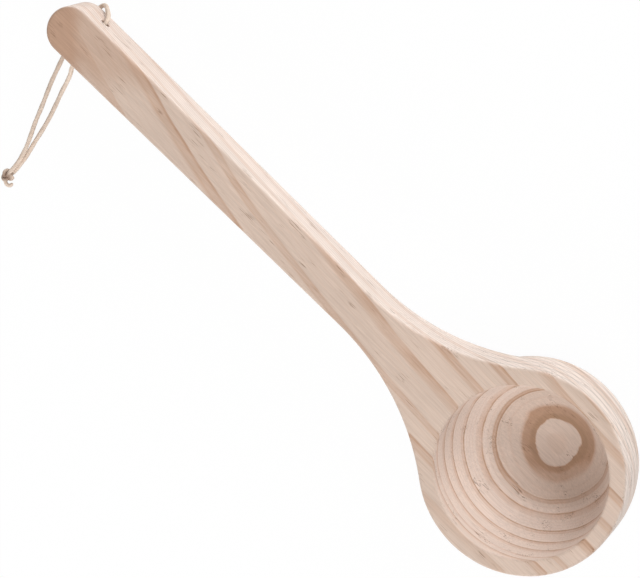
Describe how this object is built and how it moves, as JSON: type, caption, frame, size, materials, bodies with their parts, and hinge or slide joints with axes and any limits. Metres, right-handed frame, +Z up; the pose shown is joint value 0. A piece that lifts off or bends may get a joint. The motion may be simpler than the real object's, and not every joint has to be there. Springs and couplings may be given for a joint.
{
  "type": "sauna ladle",
  "caption": "Long-handled ladle carved from one piece of pale wood, with a round bowl for pouring water and a knotted lace through the handle end for hanging it up.",
  "frame": {"origin": "on the floor, under the middle of the wooden body's box as it lies at rest", "axes": "+X along the ladle from the handle end to the cup, +Z up; the cup opens upwards, tipped slightly towards the handle as it rests"},
  "size_m": [0.4008, 0.1599, 0.0641],
  "materials": {
    "pale_pine": "sanded, unsealed, with growth rings showing",
    "natural_lace": "undyed round lace, matt",
    "natural_lace_knot": "undyed round lace, pulled tight and darker in the folds"
  },
  "bodies": {
    "ladle": {"ladle_body": "pale_pine", "cord_wrap": "natural_lace"},
    "cord_loop": {"cord_strand_direct": "natural_lace", "cord_strand_under": "natural_lace", "cord_knot": "natural_lace_knot"}
  },
  "joints": [
    {"name": "cord_swing", "type": "hinge", "parent": "ladle", "child": "cord_loop", "pos_m": [-0.17703, -0.01467, 0.01692], "axis": [0.5375, 0, 0.8433], "range_deg": [-100, 50]}
  ]
}
